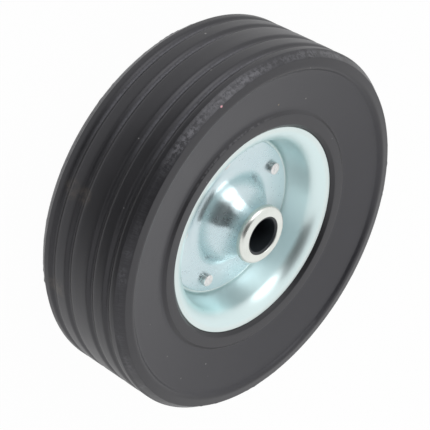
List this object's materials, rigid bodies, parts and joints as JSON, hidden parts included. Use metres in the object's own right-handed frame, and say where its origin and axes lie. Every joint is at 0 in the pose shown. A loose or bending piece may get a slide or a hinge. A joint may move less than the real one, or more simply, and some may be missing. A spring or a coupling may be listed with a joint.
{
  "type": "jockey wheel",
  "caption": "Solid rubber jockey wheel with a grooved tread, a riveted pressed steel rim, domed hub plates and a plain plastic-bushed bore.",
  "frame": {"origin": "centre of the wheel, on the axle line at the mid-plane of the tyre", "axes": "+Z along the axle line, out of the front face; the wheel lies on its side; +X through the first rivet"},
  "size_m": [0.215, 0.215, 0.065],
  "materials": {
    "tyre_rubber": "matt black moulded rubber",
    "zinc_plate": "bright zinc plate with a pale blue passivation",
    "tube_steel": "bright zinc plate, warm white",
    "black_plastic": "black nylon",
    "rivet_steel": "bright steel"
  },
  "bodies": {
    "root": {"tyre": "tyre_rubber", "rim_half_front": "zinc_plate", "rim_half_rear": "zinc_plate", "hub_plate_front": "zinc_plate", "hub_plate_rear": "zinc_plate", "hub_tube": "tube_steel", "bush": "black_plastic", "rivets": "rivet_steel"}
  },
  "joints": []
}
